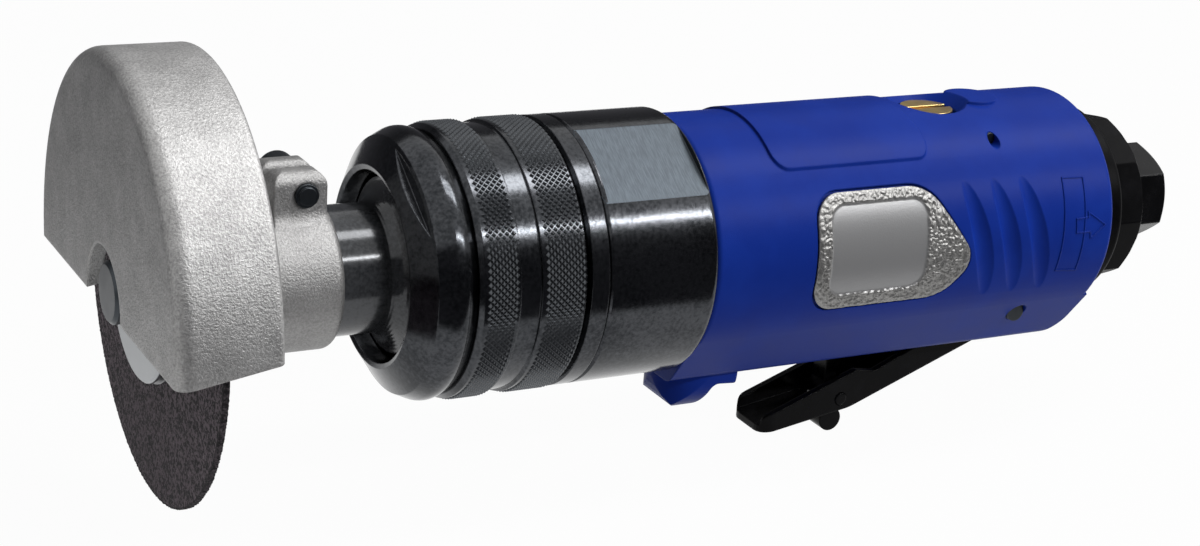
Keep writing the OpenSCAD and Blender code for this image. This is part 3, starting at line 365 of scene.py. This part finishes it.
casting = castAluminium()
grit = bondedGrit()
oxide = blackOxide("black oxide, turned", gloss=0.09)
knurlOxide = rubbedKnurl()
noseOxide = blackOxide("black oxide, polished", gloss=0.08, lathe=0.3, metallic=0.35)
housingOxide = milledHousing()
leverCoat = blackCoat("lever black", gloss=0.12, grain=3.0, shine=0.065)
ringCoat = blackCoat("ring black", gloss=0.3, grain=4.0, shine=0.03)
inletCoat = blackCoat("inlet black", gloss=0.18, grain=4.0, shine=0.14)
composite = blueComposite()
silver = badgeSilver()
zinc = machined("zinc plate", (0.27, 0.28, 0.29), (0.42, 0.435, 0.445), gloss=0.3)
greyPlate = machined("grey washer", (0.16, 0.16, 0.165), (0.3, 0.3, 0.31), gloss=0.35)
screwSteel = machined("dark screw steel", (0.036, 0.041, 0.046), (0.075, 0.082, 0.09), gloss=0.3)
groundSteel = machined("ground steel", (0.42, 0.42, 0.43), (0.6, 0.6, 0.61), gloss=0.25)
brass = machined("turned brass", (0.7, 0.47, 0.15), (0.95, 0.74, 0.34), gloss=0.24,
                 stretch=(0.05, 0.05, 7.0))
rubber = mattRubber("seal rubber", (0.02, 0.02, 0.02))
felt = mattRubber("silencer felt", (0.25, 0.24, 0.21))
phenolic = mattRubber("vane laminate", (0.16, 0.08, 0.04))
wireSteel = machined("spring wire", (0.4, 0.4, 0.42), (0.62, 0.62, 0.64), gloss=0.22,
                     stretch=(2.0, 2.0, 2.0))

finishes = {
    casting: ["wheel_guard"],
    grit: ["cutting_wheel"],
    oxide: ["spacer_ring", "lock_collar", "nose_cap"],
    noseOxide: ["nose_housing"],
    housingOxide: ["motor_housing"],
    leverCoat: ["throttle_lever", "lock_lever", "lock_pin"],
    ringCoat: ["exhaust_ring", "rear_cap"],
    inletCoat: ["inlet_bushing"],
    composite: ["grip"],
    silver: ["badge_left", "badge_right"],
    zinc: ["outer_flange", "inlet_screen"],
    greyPlate: ["wheel_washer"],
    screwSteel: ["wheel_screw", "clamp_screw", "lever_pin", "regulator_pin"],
    brass: ["speed_regulator", "valve_bush"],
    rubber: ["housing_seal", "nose_seal", "stem_seal", "regulator_seal"],
    felt: ["silencer"],
    phenolic: ["rotor_vanes"],
    wireSteel: ["lock_spring", "valve_spring"],
}
dressed = set()
for material, names in finishes.items():
    for name in names:
        nodes[name].data.materials.clear()
        nodes[name].data.materials.append(material)
        dressed.add(name)
for name in set(nodes) - dressed:  # the rest of the inside: motor, bearings, spindle, valve
    nodes[name].data.materials.clear()
    nodes[name].data.materials.append(groundSteel)
print("finishes set on", len(nodes), "nodes")


def addMesh(name, points, faces, material, smooth=True):
    mesh = bpy.data.meshes.new(name)
    mesh.from_pydata([tuple(p) for p in points], [], faces)
    mesh.validate()
    if smooth:
        mesh.polygons.foreach_set("use_smooth", [True] * len(mesh.polygons))
    mesh.materials.append(material)
    made = bpy.data.objects.new(name, mesh)
    scene.collection.objects.link(made)
    return made


def faceOutwards(made):
    shape = bmesh.new()
    shape.from_mesh(made.data)
    bmesh.ops.recalc_face_normals(shape, faces=shape.faces)
    shape.to_mesh(made.data)
    shape.free()


# geometry-node trees: one method adds a node with its settings and sockets
class Tree:
    def __init__(self, name, inputs):
        self.group = bpy.data.node_groups.new(name, "GeometryNodeTree")
        face = self.group.interface
        face.new_socket("Geometry", in_out="OUTPUT", socket_type="NodeSocketGeometry")
        self.sockets = {label: face.new_socket(label, in_out="INPUT", socket_type=kind)
                        for label, kind in inputs.items()}
        self.start = self.group.nodes.new("NodeGroupInput")

    def given(self, label):
        return self.start.outputs[label]

    def node(self, kind, settings=None, sockets=None, out=0):
        made = self.group.nodes.new(kind)
        for key, value in (settings or {}).items():
            setattr(made, key, value)
        for key, value in (sockets or {}).items():
            if isinstance(value, bpy.types.NodeSocket):
                self.group.links.new(value, made.inputs[key])
            else:
                made.inputs[key].default_value = value
        return made.outputs[out]

    def math(self, operation, first, second=0.0):
        return self.node("ShaderNodeMath", {"operation": operation}, {0: first, 1: second})

    def end(self, geometry, material):
        whole = self.node("GeometryNodeRealizeInstances", None, {"Geometry": geometry})
        painted = self.node("GeometryNodeSetMaterial", None,
                            {"Geometry": whole, "Material": material})
        stop = self.group.nodes.new("NodeGroupOutput")
        self.group.links.new(painted, stop.inputs[0])

    # runs the tree with these sizes and leaves a plain mesh object
    def make(self, name, sizes, material):
        holder = bpy.data.objects.new(name + "_maker", bpy.data.meshes.new(name + "_maker"))
        scene.collection.objects.link(holder)
        modifier = holder.modifiers.new("nodes", "NODES")
        modifier.node_group = self.group
        for label, value in {**sizes, "Material": material}.items():
            modifier[self.sockets[label].identifier] = value
        ready = holder.evaluated_get(bpy.context.evaluated_depsgraph_get())
        mesh = bpy.data.meshes.new_from_object(ready)
        bpy.data.objects.remove(holder)
        mesh.name = name
        made = bpy.data.objects.new(name, mesh)
        scene.collection.objects.link(made)
        return made


# diamond knurl: rows of four-sided teeth, every second row half a tooth on
knurlSizes = {"Radius": 24.84 * mm, "Height": 0.42 * mm, "Columns": 128, "rowStep": 0.62 * mm,
              "bands": {"knurl_rear": (145.3, 153.9), "knurl_front": (158.3, 165.0)}}


def knurlTree():
    tree = Tree("knurl", {
        "Radius": "NodeSocketFloat", "Height": "NodeSocketFloat", "Start": "NodeSocketFloat",
        "Row step": "NodeSocketFloat", "Columns": "NodeSocketInt", "Rows": "NodeSocketInt",
        "Material": "NodeSocketMaterial"})
    columns, radius, step = [tree.given(label) for label in ("Columns", "Radius", "Row step")]
    count = tree.math("MULTIPLY", columns, tree.given("Rows"))
    index = tree.node("GeometryNodeInputIndex")
    row = tree.math("FLOOR", tree.math("DIVIDE", index, columns))
    shift = tree.math("MULTIPLY", tree.math("MODULO", row, 2.0), 0.5)
    share = tree.math("DIVIDE", tree.math("ADD", index, shift), columns)
    turn = tree.math("MULTIPLY", share, 2 * math.pi)
    along = tree.math("ADD", tree.given("Start"), tree.math("MULTIPLY", row, step))
    place = tree.node("ShaderNodeCombineXYZ", None, {
        0: along, 1: tree.math("MULTIPLY", radius, tree.math("SINE", turn)),
        2: tree.math("MULTIPLY", radius, tree.math("COSINE", turn))})
    points = tree.node("GeometryNodePoints", None, {"Count": count, "Position": place})
    tooth = tree.node("GeometryNodeMeshCone", {"fill_type": "NGON"}, {
        "Vertices": 4, "Side Segments": 1, "Fill Segments": 1,
        "Radius Top": 0.1, "Radius Bottom": 1.0, "Depth": 1.0})
    half = tree.math("DIVIDE", tree.math("MULTIPLY", radius, math.pi), columns)
    size = tree.node("ShaderNodeCombineXYZ", None, {0: step, 1: half, 2: tree.given("Height")})
    lean = tree.node("ShaderNodeCombineXYZ", None, {0: tree.math("MULTIPLY", turn, -1.0)})
    teeth = tree.node("GeometryNodeInstanceOnPoints", None, {
        "Points": points, "Instance": tooth, "Rotation": lean, "Scale": size})
    tree.end(teeth, tree.given("Material"))
    return tree


knurl = knurlTree()
for name, (start, stop) in knurlSizes["bands"].items():
    rows = int((stop - start) * mm / knurlSizes["rowStep"])
    band = knurl.make(name, {
        "Radius": knurlSizes["Radius"], "Height": knurlSizes["Height"],
        "Start": start * mm + knurlSizes["rowStep"], "Row step": knurlSizes["rowStep"],
        "Columns": knurlSizes["Columns"], "Rows": rows - 1}, knurlOxide)
    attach(band, "housing")
print("knurl made")


# wire wound on a cylinder, or a thread's ridge, about an axis of the tool
windingSteps = {"turn": 40, "wire": 8}


def windingTree():
    tree = Tree("winding", {
        "Turns": "NodeSocketFloat", "Radius": "NodeSocketFloat", "Length": "NodeSocketFloat",
        "Wire": "NodeSocketFloat", "Place": "NodeSocketVector", "Turn": "NodeSocketVector",
        "Material": "NodeSocketMaterial"})
    spiral = tree.node("GeometryNodeCurveSpiral", None, {
        "Resolution": windingSteps["turn"], "Rotations": tree.given("Turns"),
        "Start Radius": tree.given("Radius"), "End Radius": tree.given("Radius"),
        "Height": tree.given("Length")})
    ring = tree.node("GeometryNodeCurvePrimitiveCircle", None, {
        "Resolution": windingSteps["wire"], "Radius": tree.given("Wire")})
    wound = tree.node("GeometryNodeCurveToMesh", None, {
        "Curve": spiral, "Profile Curve": ring, "Fill Caps": True})
    placed = tree.node("GeometryNodeTransform", None, {
        "Geometry": wound, "Translation": tree.given("Place"), "Rotation": tree.given("Turn")})
    tree.end(placed, tree.given("Material"))
    return tree


windings = {
    "lock_coil": {"Turns": 3.0, "Radius": 1.66 * mm, "Length": 1.7 * mm, "Wire": 0.33 * mm,
                  "Place": (75.3 * mm, 4.1 * mm, -36.2 * mm), "Turn": (math.pi / 2, 0.0, 0.0)},
    "inlet_thread": {"Turns": 8.0, "Radius": 5.72 * mm, "Length": 11.5 * mm, "Wire": 0.42 * mm,
                     "Place": (0.9 * mm, 0.0, 0.0), "Turn": (0.0, math.pi / 2, 0.0)},
    "valve_coil": {"Turns": 5.0, "Radius": 2.24 * mm, "Wire": 0.4 * mm},
}
winding = windingTree()
coil = winding.make("lock_coil", windings["lock_coil"], wireSteel)
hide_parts("lock_spring")
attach(coil, "lever")
thread = winding.make("inlet_thread", windings["inlet_thread"], inletCoat)
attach(thread, "housing")

# the valve's spring is wound between its solid's ends
springSizes = {"gap": 0.05 * mm, "lift": 4.084 * mm}
springNode = nodes["valve_spring"]
corners = [springNode.matrix_world @ Vector(corner) for corner in springNode.bound_box]
springLow, springHigh = [Vector([pick(c[k] for c in corners) for k in range(3)])
                         for pick in (min, max)]
spare = windings["valve_coil"]["Wire"] + springSizes["gap"]
windings["valve_coil"].update({
    "Length": springHigh.z - springLow.z - 2 * spare, "Turn": (0.0, 0.0, 0.0),
    "Place": ((springLow.x + springHigh.x) / 2, (springLow.y + springHigh.y) / 2,
              springLow.z + spare)})
valveCoil = winding.make("valve_coil", windings["valve_coil"], wireSteel)
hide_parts("valve_spring")
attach(valveCoil, "housing")
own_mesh(valveCoil)
print("coils and thread made")


# cutting wheel: ragged edge and grainy faces
wheelSizes = {"bore": 4.77, "washer": 16.0, "radius": 37.75, "half": 0.6, "middle": 215.2,
              "segments": 720, "rings": 26, "skin": 0.06, "apart": 9.0,
              "grain": 0.05, "grainScale": 2.6,
              "ragged": 0.3, "raggedScale": 3.1, "raggedShift": (7.0, 3.0, 0.0)}


def gritWheel():
    size = wheelSizes
    count = size["segments"]
    faceRadii = np.linspace(size["washer"], size["radius"], size["rings"])
    radii = np.concatenate([[size["bore"]], faceRadii])
    shift = Vector(size["raggedShift"])
    points, faces = [], []
    for side in (1.0, -1.0):
        for radius in radii:
            outer, last = radius > size["washer"] + 1, radius == radii[-1]
            for k in range(count):
                turn = 2 * math.pi * k / count
                at = Vector((radius * math.sin(turn), radius * math.cos(turn),
                             side * size["apart"]))
                lump = noise.noise(at * size["grainScale"]) if outer else 0.0
                edge = noise.noise(at * size["raggedScale"] + shift) if last else 0.0
                r = radius + size["ragged"] * edge
                x = size["middle"] + side * (size["half"] - size["skin"] + size["grain"] * lump)
                points.append((x * mm, r * math.sin(turn) * mm, r * math.cos(turn) * mm))
    rings = len(radii)
    rim, back, bore = (rings - 1) * count, (2 * rings - 1) * count, rings * count
    for k in range(count):
        n = (k + 1) % count
        for i in range(rings - 1):
            a, b = i * count, (i + 1) * count
            faces.append((a + k, b + k, b + n, a + n))
            c, d = (rings + i) * count, (rings + i + 1) * count
            faces.append((c + n, d + n, d + k, c + k))
        faces.append((rim + k, back + k, back + n, rim + n))
        faces.append((k, n, bore + n, bore + k))
    return addMesh("grit_wheel", points, faces, grit, smooth=False)


wheel = gritWheel()
faceOutwards(wheel)
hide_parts("cutting_wheel")
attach(wheel, "spindle")
print("wheel made")


# badge: raised stippled rim round a smooth bare panel, wrapped on the grip
badgeSizes = {
    "outline": [(96.3, 12.9, 5), (96.3, -9.4, 5), (66.53, -9.4, 8), (60.0, -1.78, 5),
                (71.25, 12.9, 9)],
    "panel": (82.6, 2.3, 10.9, 8.6, 3.2), "radius": 23.72, "foot": 22.9,
    "segments": 420, "rings": 80, "corner": 10, "crowding": 0.8,
    "rim": 0.3, "rimSoft": 0.45, "edgeSlope": 14.0, "edgeLeast": 0.35,
    "stipple": 0.34, "contrast": 2.2, "worm": 1.15, "wormLevel": 4.0,
    "fine": 2.4, "fineLevel": 9.0, "fineShare": 0.35}


def roundedOutline(corners, steps):
    outline = []
    for i, (x, z, r) in enumerate(corners):
        p = np.array([x, z])
        u = np.array(corners[i - 1][:2]) - p
        v = np.array(corners[(i + 1) % len(corners)][:2]) - p
        u, v = u / np.linalg.norm(u), v / np.linalg.norm(v)
        half = math.acos(u @ v) / 2
        middle = (u + v) / np.linalg.norm(u + v)
        centre = p + middle * r / math.sin(half)
        a, b = p + u * r / math.tan(half) - centre, p + v * r / math.tan(half) - centre
        for t in np.linspace(0, 1, steps):
            way = a * (1 - t) + b * t
            outline.append(centre + way / np.linalg.norm(way) * r)
    return np.array(outline)


def evenly(outline, count):
    closed = np.vstack([outline, outline[:1]])
    run = np.concatenate([[0], np.cumsum(np.linalg.norm(np.diff(closed, axis=0), axis=1))])
    at = np.linspace(0, run[-1], count, endpoint=False)
    return np.stack([np.interp(at, run, closed[:, k]) for k in (0, 1)], 1)


# distance outside a rounded box, negative inside
def boxDistance(x, z, box):
    middleX, middleZ, halfX, halfZ, corner = box
    dx, dz = abs(x - middleX) - halfX + corner, abs(z - middleZ) - halfZ + corner
    return math.hypot(max(dx, 0.0), max(dz, 0.0)) + min(max(dx, dz), 0.0) - corner


def badgePlate(name, side):
    size = badgeSizes
    outline = evenly(roundedOutline(size["outline"], size["corner"]), size["segments"])
    centre = outline.mean(0)
    count, rings = size["segments"], size["rings"]
    points, rims, faces = [], [], []

    def lay(x, z, radius):
        turn = math.asin(max(-1.0, min(1.0, z / size["radius"])))
        points.append((x * mm, side * radius * math.cos(turn) * mm, radius * math.sin(turn) * mm))

    for i in range(1, rings + 1):
        share = (i / rings) ** size["crowding"]
        for p in outline:
            x, z = centre + (p - centre) * share
            away = boxDistance(x, z, size["panel"])
            rim = min(1.0, max(0.0, away / size["rimSoft"] + 0.5))
            edge = min(1.0, (1.0 - share) * size["edgeSlope"] + size["edgeLeast"])
            coarse = abs(noise.noise(Vector((x, z, side * size["wormLevel"])) * size["worm"]))
            fine = abs(noise.noise(Vector((x, z, size["fineLevel"])) * size["fine"]))
            worm = min(1.0, (coarse + size["fineShare"] * fine) * size["contrast"])
            relief = size["rim"] + size["stipple"] * (worm - 0.5)
            lay(x, z, size["radius"] + rim * edge * relief)
            rims.append(rim)
    for x, z in outline:
        lay(x, z, size["foot"])
        rims.append(1.0)
    lay(*centre, size["radius"])
    lay(*centre, size["foot"])
    rims += [0.0, 0.0]
    top, foot = len(points) - 2, len(points) - 1
    for k in range(count):
        n = (k + 1) % count
        faces.append((top, k, n))
        for i in range(rings):
            a, b = i * count, (i + 1) * count
            faces.append((a + k, b + k, b + n, a + n))
        faces.append((rings * count + n, rings * count + k, foot))
    made = addMesh(name, points, faces, silver)
    made.data.attributes.new("rim", "FLOAT", "POINT").data.foreach_set("value", rims)
    faceOutwards(made)
    return made


for side, name in ((1.0, "left"), (-1.0, "right")):
    plate = badgePlate("badge_plate_" + name, side)
    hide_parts("badge_" + name)
    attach(plate, "housing")
print("badges made")


# exhaust mark: a plain frame and an arrow, moulded a little proud of the grip
markSizes = {
    "radius": 23.6, "line": 0.32, "proud": 0.14, "sunk": 0.3, "steps": 24,
    "frame": [(38.7, 60.0), (33.6, 60.6), (33.7, 107.6), (38.9, 106.4)],
    "arrow": [(35.8, 80.4), (32.8, 80.0), (32.9, 77.6), (28.6, 84.4), (31.9, 90.6),
              (32.2, 87.4), (35.6, 87.2)]}


def wrapped(name, outlines, size):
    points, faces = [], []
    for loop in outlines:
        start, count = len(points), len(loop)
        for lift in (size["proud"], -size["sunk"]):
            for x, turn in loop:
                r = size["radius"] + lift
                points.append((x * mm, r * math.sin(turn) * mm, r * math.cos(turn) * mm))
        under, end = start + count, start + 2 * count
        for k in range(count // 2 - 1):
            faces.append((start + k, start + k + 1, under - 2 - k, under - 1 - k))
            faces.append((end - 1 - k, end - 2 - k, under + k + 1, under + k))
        for k in range(count):
            n = (k + 1) % count
            faces.append((start + k, under + k, under + n, start + n))
    made = addMesh(name, points, faces, composite, smooth=False)
    faceOutwards(made)
    return made


# a line of even width between two places, as a closed strip
def strip(a, b, width, radius, steps):
    a, b = [np.array([p[0], math.radians(p[1]) * radius]) for p in (a, b)]
    way = (b - a) / np.linalg.norm(b - a)
    across = np.array([-way[1], way[0]]) * width / 2
    a, b = a - way * width / 2, b + way * width / 2
    near = [a + (b - a) * t + across for t in np.linspace(0, 1, steps)]
    far = [a + (b - a) * t - across for t in np.linspace(1, 0, steps)]
    return [(p[0], p[1] / radius) for p in near + far]


def exhaustMark():
    size = markSizes
    loops = []
    for corners in (size["frame"], size["arrow"]):
        for k, corner in enumerate(corners):
            after = corners[(k + 1) % len(corners)]
            loops.append(strip(corner, after, size["line"], size["radius"], size["steps"]))
    return wrapped("exhaust_mark", loops, size)


mark = exhaustMark()
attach(mark, "housing")
print("exhaust mark made")


# stage: pale floor, soft box above, thin strip high on the camera's side, and dark cards that
# only reflections see
stageSizes = {"floor": 6.0, "under": 0.4 * mm, "shadow": 0.03, "fill": 0.18, "card": 0.09,
              "floorNoise": 0.01, "floorDark": (0.5, 0.5, 0.5), "floorLight": (0.52, 0.52, 0.52)}


def rayMask(paint):
    seen = [paint.node("ShaderNodeLightPath", out=kind)
            for kind in ("Is Camera Ray", "Is Glossy Ray", "Is Transmission Ray")]
    return seen[0].most(seen[1]).most(seen[2])


def paleFloor():
    size = stageSizes
    paint = Paint("pale floor")
    tone = paint.noise(size["floorNoise"], detail=2.0)
    lit = paint.node("ShaderNodeBsdfDiffuse", None, {
        "Color": paint.mix(tone, size["floorDark"], size["floorLight"])})
    glow = paint.node("ShaderNodeEmission", None, {"Color": white, "Strength": 1.0})
    share = rayMask(paint) * (1.0 - size["shadow"])
    paint.output(paint.node("ShaderNodeMixShader", None, {0: share, 1: lit, 2: glow}))
    return paint.material


half = stageSizes["floor"] / 2
floorLevel = cadLow.z - stageSizes["under"]
floor = addMesh("floor", [(-half, -half, floorLevel), (half, -half, floorLevel),
                          (half, half, floorLevel), (-half, half, floorLevel)],
                [(0, 1, 2, 3)], paleFloor())

# the world's nodes, added the way a material's are
world = bpy.data.worlds.new("studio")
scene.world = world
world.use_nodes = True
air = Paint.__new__(Paint)
air.tree = world.node_tree
air.tree.nodes.clear()
shown = rayMask(air)
fill, backdrop = [air.node("ShaderNodeBackground", None, {"Color": white, "Strength": strength})
                  for strength in (stageSizes["fill"], 1.0)]
sky = air.node("ShaderNodeMixShader", None, {0: shown, 1: fill, 2: backdrop})
worldOut = air.tree.nodes.new("ShaderNodeOutputWorld")
air.tree.links.new(sky.socket, worldOut.inputs["Surface"])

cards = {
    "card_near": [(-1.6, 0.07, -0.041), (1.2, 0.07, -0.041), (1.2, 0.85, 0.52), (-1.6, 0.85, 0.52)],
    "card_far": [(-1.6, -0.5, -0.04), (1.2, -0.5, -0.04), (1.2, -0.5, 0.42), (-1.6, -0.5, 0.42)],
    "card_left": [(0.27, -0.5, -0.041), (0.27, -0.07, -0.041), (0.7, -0.07, -0.041),
                  (0.7, -0.5, -0.041)],
}


def darkCard(name, corners):
    paint = Paint(name)
    grey = stageSizes["card"]
    paint.output(paint.node("ShaderNodeEmission", None, {"Color": (grey, grey, grey * 1.1, 1.0)}))
    card = addMesh(name, corners, [(0, 1, 2, 3)], paint.material)
    card.visible_camera = card.visible_diffuse = False
    card.visible_shadow = card.visible_transmission = False


for name, corners in cards.items():
    darkCard(name, corners)

lights = {
    "soft_box": {"place": (-0.3, 0.14, 0.85), "size": (0.75, 0.24), "radiance": 10.5},
    "strip": {"place": (-0.3, 0.62, 0.47), "size": (0.7, 0.03), "radiance": 60.0},
}
lightAim = Vector((0.12, 0.0, 0.0))


def softLight(name, place, size, radiance):
    lamp = bpy.data.lights.new(name, "AREA")
    lamp.shape, lamp.size, lamp.size_y = "RECTANGLE", size[0], size[1]
    lamp.energy = radiance * math.pi * size[0] * size[1]
    made = bpy.data.objects.new(name, lamp)
    back = (Vector(place) - lightAim).normalized()
    side = Vector((1.0, 0.0, 0.0))
    side = (side - back * side.dot(back)).normalized()
    turned = Matrix((side, back.cross(side), back)).transposed()
    made.matrix_world = Matrix.Translation(place) @ turned.to_4x4()
    made.visible_camera = False
    scene.collection.objects.link(made)


for name, light in lights.items():
    softLight(name, **light)

cameraSizes = {"place": (0.32213, 0.34870, 0.13211), "forward": (-0.45723, -0.82693, -0.32731),
               "up": (-0.09479, -0.32062, 0.94245), "lens": 67.19, "sensor": 36.0,
               "clip": (0.01, 20.0)}
forward, upward = [Vector(cameraSizes[key]).normalized() for key in ("forward", "up")]
lens = bpy.data.cameras.new("camera")
lens.lens, lens.sensor_width = cameraSizes["lens"], cameraSizes["sensor"]
lens.sensor_fit = "HORIZONTAL"
lens.clip_start, lens.clip_end = cameraSizes["clip"]
camera = bpy.data.objects.new("camera", lens)
turned = Matrix((forward.cross(upward), upward, -forward)).transposed()
camera.matrix_world = Matrix.Translation(cameraSizes["place"]) @ turned.to_4x4()
scene.collection.objects.link(camera)
scene.camera = camera
scene.view_settings.view_transform = "Standard"

print("stage set")
